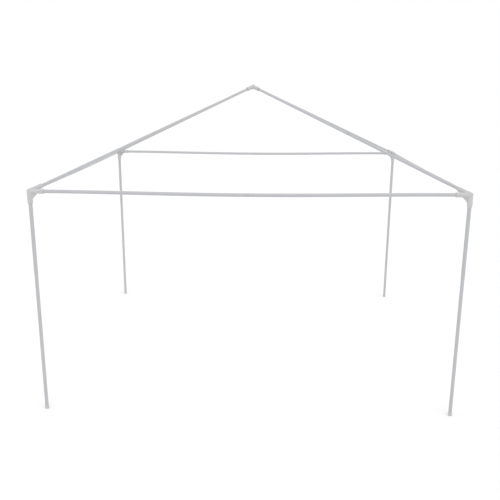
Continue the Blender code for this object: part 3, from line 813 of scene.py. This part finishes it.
def coated_steel():
    """Light grey powder coat on steel tube: orange peel, a weld seam, scuffs, and wear at the joints."""
    made, tree, shader, place = new_material("coated_steel")
    colour = (0.468, 0.471, 0.491)
    cloud = ranged(tree, noise(tree, place, 6.0, 3.0), 0.3, 0.7)
    tint = mixed(tree, cloud, tuple(c * 0.975 for c in colour), tuple(c * 1.02 for c in colour))
    streaks = ranged(tree, noise(tree, place, 700.0, 2.0, (1, 1, 0.012)), 0.66, 0.72)
    patches = ranged(tree, noise(tree, place, 9.0, 2.0), 0.52, 0.62)
    scuffs = maths(tree, "MULTIPLY", streaks, patches)
    tint = mixed(tree, maths(tree, "MULTIPLY", scuffs, 0.5), tint, (0.34, 0.34, 0.36))
    rubbed = add(tree, "Attribute", attribute_name="rubbed").outputs["Fac"]
    lines = ranged(tree, noise(tree, place, 900.0, 3.0, (1, 1, 0.02)), 0.42, 0.60)
    worn = maths(tree, "MULTIPLY", rubbed, lines)
    tint = mixed(tree, maths(tree, "MULTIPLY", worn, 0.75), tint, (0.36, 0.355, 0.35))
    soiled = add(tree, "Attribute", attribute_name="soiled").outputs["Fac"]
    dust = ranged(tree, noise(tree, place, 160.0, 6.0), 0.45, 0.75)
    dirt = maths(tree, "MULTIPLY", soiled, dust)
    tint = mixed(tree, maths(tree, "MULTIPLY", dirt, 0.30), tint, (0.36, 0.33, 0.29))
    tree.links.new(tint, shader.inputs["Base Color"])
    gloss = ranged(tree, noise(tree, place, 45.0, 4.0), 0.3, 0.7, 0.36, 0.46)
    gloss = maths(tree, "ADD", gloss, maths(tree, "MULTIPLY", dirt, 0.25))
    gloss = maths(tree, "SUBTRACT", gloss, maths(tree, "MULTIPLY", worn, 0.10))
    tree.links.new(gloss, shader.inputs["Roughness"])
    shader.inputs["Metallic"].default_value = 0.0
    shader.inputs["Coat Weight"].default_value = 0.12
    shader.inputs["Coat Roughness"].default_value = 0.22
    peel = bumped(tree, noise(tree, place, 480.0, 1.5), 0.00012, 0.5)
    parts = add(tree, "SeparateXYZ", {"Vector": place})
    facing = add(tree, "SeparateXYZ", {"Vector": add(tree, "TexCoord").outputs["Normal"]})
    near = ranged(tree, maths(tree, "ABSOLUTE", parts.outputs["X"], 0.0), 0.0, 0.0011, 1.0, 0.0)
    below = ranged(tree, facing.outputs["Y"], -0.2, -0.6)
    seam = maths(tree, "MULTIPLY", near, below)
    normal = bumped(tree, seam, 0.00015, 0.8, peel)
    normal = bumped(tree, maths(tree, "ADD", worn, scuffs), -0.00004, 0.6, normal)
    tree.links.new(normal, shader.inputs["Normal"])
    return made


def moulding():
    """Light grey moulded plastic: a fine spark-eroded grain, flow marks, edges rubbed paler, and painted shade
    darkening its creases.
    """
    made, tree, shader, place = new_material("moulding")
    colour = (0.522, 0.522, 0.527)
    flow = ranged(tree, noise(tree, place, 22.0, 3.0, (1, 1, 0.5)), 0.3, 0.7)
    tint = mixed(tree, flow, tuple(c * 0.97 for c in colour), tuple(c * 1.03 for c in colour))
    point = add(tree, "NewGeometry").outputs["Pointiness"]
    chips = noise(tree, place, 240.0, 4.0)
    edges = maths(tree, "MULTIPLY", ranged(tree, point, 0.515, 0.56), ranged(tree, chips, 0.40, 0.62))
    tint = mixed(tree, maths(tree, "MULTIPLY", edges, 0.6), tint, (0.60, 0.60, 0.59))
    # Painted shade: the colour is darkened where the surface is hollow, in creases and fillets.
    painted_crease_shade = ranged(tree, point, 0.485, 0.44)
    tint = mixed(tree, maths(tree, "MULTIPLY", painted_crease_shade, 0.15), tint, (0.40, 0.395, 0.38))
    soiled = add(tree, "Attribute", attribute_name="soiled").outputs["Fac"]
    dirt = maths(tree, "MULTIPLY", soiled, ranged(tree, noise(tree, place, 300.0, 6.0), 0.42, 0.7))
    tint = mixed(tree, maths(tree, "MULTIPLY", dirt, 0.45), tint, (0.30, 0.275, 0.24))
    tree.links.new(tint, shader.inputs["Base Color"])
    gloss = ranged(tree, noise(tree, place, 60.0, 4.0), 0.3, 0.7, 0.50, 0.62)
    gloss = maths(tree, "SUBTRACT", gloss, maths(tree, "MULTIPLY", edges, 0.12))
    tree.links.new(gloss, shader.inputs["Roughness"])
    grain = bumped(tree, noise(tree, place, 1500.0, 2.0), 0.00008, 0.45)
    ripples = bumped(tree, noise(tree, place, 70.0, 1.0), 0.00020, 0.35, grain)
    tree.links.new(ripples, shader.inputs["Normal"])
    return made


def plated_steel():
    """Zinc plated spring steel, with a mottled tone and fine grinding marks."""
    made, tree, shader, place = new_material("plated_steel")
    shader.inputs["Metallic"].default_value = 1.0
    bloom = ranged(tree, noise(tree, place, 420.0, 4.0), 0.35, 0.65)
    tint = mixed(tree, bloom, (0.50, 0.49, 0.46), (0.66, 0.66, 0.64))
    tree.links.new(tint, shader.inputs["Base Color"])
    marks = noise(tree, place, 2600.0, 2.0, (0.05, 1, 1))
    tree.links.new(ranged(tree, marks, 0.3, 0.7, 0.24, 0.42), shader.inputs["Roughness"])
    tree.links.new(bumped(tree, marks, 0.00002, 0.5), shader.inputs["Normal"])
    return made


# Placing the pieces.


def place_piece(node, mesh, place, body, finish):
    """Puts a finished piece where the CAD has a node, riding on the node's body."""
    if not mesh.materials:
        mesh.materials.append(finish)
    piece = in_scene(node + "_finished", mesh)
    piece.matrix_world = place
    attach(piece, body)
    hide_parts(node)
    return piece


def button_places(sag):
    """The mesh and the place of each snap button of one side, whose beam has a sag, and its first corner."""
    beam_top = BEAM_SOCKET_RADIUS + PROUD_OF_SOCKET
    socket_mesh = snap_button("beam_button", BEAM_RADIUS - TUBE_WALL, beam_top)
    middle_mesh = snap_button("middle_button", BEAM_SPIGOT_RADIUS - TUBE_WALL, BEAM_RADIUS + PROUD_OF_TUBE)
    leg_mesh = snap_button("leg_button", UPPER_LEG_RADIUS - TUBE_WALL, LEG_SOCKET_RADIUS + PROUD_OF_SOCKET)
    joint_mesh = snap_button("joint_button", LOWER_LEG_RADIUS - TUBE_WALL, UPPER_LEG_RADIUS + PROUD_OF_TUBE)
    beam = Vector((0, -HALF, EAVE_HEIGHT))
    corner = Vector((-HALF, -HALF, 0))
    front = (0, -1, 0)
    middle = beam + Vector((JOINT_BUTTON_AT, 0, hanging(JOINT_BUTTON_AT, sag).translation.y))
    first = beam + Vector((BEAM_BUTTON_AT - HALF, 0, 0))
    second = beam + Vector((HALF - BEAM_BUTTON_AT, 0, 0))
    socket = corner + UP * (EAVE_HEIGHT - LEG_BUTTON_AT)
    joint = corner + UP * (LEG_JOINT_HEIGHT + JOINT_BUTTON_AT)
    return {
        "first": (socket_mesh, pointing(first, (-1, 0, 0), front)),
        "second": (socket_mesh, pointing(second, (1, 0, 0), front)),
        "middle": (middle_mesh, pointing(middle, (1, 0, 0), front)),
        "leg": (leg_mesh, pointing(socket, (0, 0, 1), OUTWARD)),
        "joint": (joint_mesh, pointing(joint, (0, 0, 1), OUTWARD)),
    }


def finish_frame():
    """Shapes each kind of piece once and places its copies."""
    steel, plastic, spring = coated_steel(), moulding(), plated_steel()
    node = Matrix.Translation((-HALF, -HALF, EAVE_HEIGHT))
    leg_joint = Matrix.Translation((-HALF, -HALF, LEG_JOINT_HEIGHT))
    foot = Matrix.Translation((-HALF, -HALF, 0))
    level = UP.cross(UP_RAFTER).normalized()
    slope_turn = Matrix((level, UP_RAFTER.cross(level), UP_RAFTER)).transposed().to_4x4()
    up_rafter = node @ slope_turn
    beam_turn = Matrix(((0, 1, 0), (0, 0, 1), (1, 0, 0))).transposed().to_4x4()
    beam = Matrix.Translation((0, -HALF, EAVE_HEIGHT)) @ beam_turn
    corner_pieces = (
        ("corner_connector", corner_connector(), node, "roof_frame", "moulding", plastic),
        ("rafter_lower", rafter_lower_half(), up_rafter, "roof_frame", "coated_steel", steel),
        ("rafter_upper", rafter_upper_half(), up_rafter, "roof_frame", "coated_steel", steel),
        ("upper_leg", upper_leg(), node, "upper_leg_{}", "coated_steel", steel),
        ("lower_leg", lower_leg(), leg_joint, "lower_leg_{}", "coated_steel", steel),
        ("foot_cap", foot_cap(), foot, "lower_leg_{}", "moulding", plastic),
    )
    side_pieces = {}
    for sag in (FRONT_SAG, SIDE_SAG):
        side_pieces[sag] = ((beam_swaged_half(sag), beam_plain_half(sag)), button_places(sag))
    for turn, (side, corner, first, second, sag) in enumerate(SIDES):
        around = Matrix.Rotation(turn * math.pi / 2, 4, "Z")
        halves, buttons = side_pieces[sag]
        for name, mesh, place, body, slot, finish in corner_pieces:
            place_piece(f"{name}_{corner}", mesh, around @ place, body.format(corner), finish)
        for end, mesh in zip((first, second), halves):
            name = f"{side}_beam_{end}_half"
            place_piece(name, mesh, around @ beam, "roof_frame", steel)
        button_names = {
            "first": f"{side}_beam_button_{first}",
            "second": f"{side}_beam_button_{second}",
            "middle": f"{side}_beam_button_middle",
            "leg": f"leg_button_{corner}",
            "joint": f"leg_joint_button_{corner}",
        }
        for key, name in button_names.items():
            mesh, place = buttons[key]
            place_piece(name, mesh, around @ place, name, spring)
    peak = Matrix.Translation((0, 0, PEAK_HEIGHT))
    place_piece("crown_connector", crown_connector(), peak, "roof_frame", plastic)


# The studio.


def make_floor():
    """A wide, pale, matt floor."""
    faces = [ring(Matrix(), height, FLOOR_RADIUS, 64) for height in (-FLOOR_THICKNESS, 0.0)]
    mesh = mesh_from_rings("floor", faces, closed=False)
    floor = in_scene("floor", mesh)
    made, tree, shader, place = new_material("pale_floor")
    grain = ranged(tree, noise(tree, place, 1.5, 3.0), 0.3, 0.7)
    tint = mixed(tree, grain, (0.890, 0.890, 0.890), (0.900, 0.900, 0.900))
    tree.links.new(tint, shader.inputs["Base Color"])
    shader.inputs["Roughness"].default_value = 0.9
    shader.inputs["Specular IOR Level"].default_value = 0.1
    mesh.materials.append(made)


def make_light():
    """White surroundings, and one wide soft lamp above and to the right of the camera."""
    world = bpy.data.worlds.new("white_room")
    bpy.context.scene.world = world
    world.use_nodes = True
    background = world.node_tree.nodes["Background"]
    background.inputs["Color"].default_value = (1.0, 1.0, 1.0, 1.0)
    background.inputs["Strength"].default_value = 1.0
    lamp = bpy.data.lights.new("soft_lamp", "SUN")
    lamp.angle = math.radians(LAMP_WIDTH)
    lamp.energy = LAMP_STRENGTH
    holder = bpy.data.objects.new("soft_lamp", lamp)
    bpy.context.scene.collection.objects.link(holder)
    holder.rotation_euler = Vector(LAMP_DIRECTION).to_track_quat("-Z", "Y").to_euler()


def make_camera():
    """A camera at the height of the peak, in front of the frame, looking a little down at it."""
    camera = bpy.data.cameras.new("camera")
    camera.lens = CAMERA_LENS
    camera.sensor_width = CAMERA_SENSOR
    camera.shift_x, camera.shift_y = CAMERA_SHIFT
    camera.clip_end = 1000.0
    holder = bpy.data.objects.new("camera", camera)
    bpy.context.scene.collection.objects.link(holder)
    look = Matrix.Rotation(CAMERA_TURN, 4, "Z") @ Matrix.Rotation(math.pi / 2 - CAMERA_TILT, 4, "X")
    look = look @ Matrix.Rotation(-CAMERA_ROLL, 4, "Z")
    stand = Vector(CAMERA_PLACE) * 2 * HALF
    holder.matrix_world = Matrix.Translation(stand) @ look
    bpy.context.scene.camera = holder
    bpy.context.scene.view_settings.view_transform = "Standard"


finish_frame()
make_floor()
make_light()
make_camera()
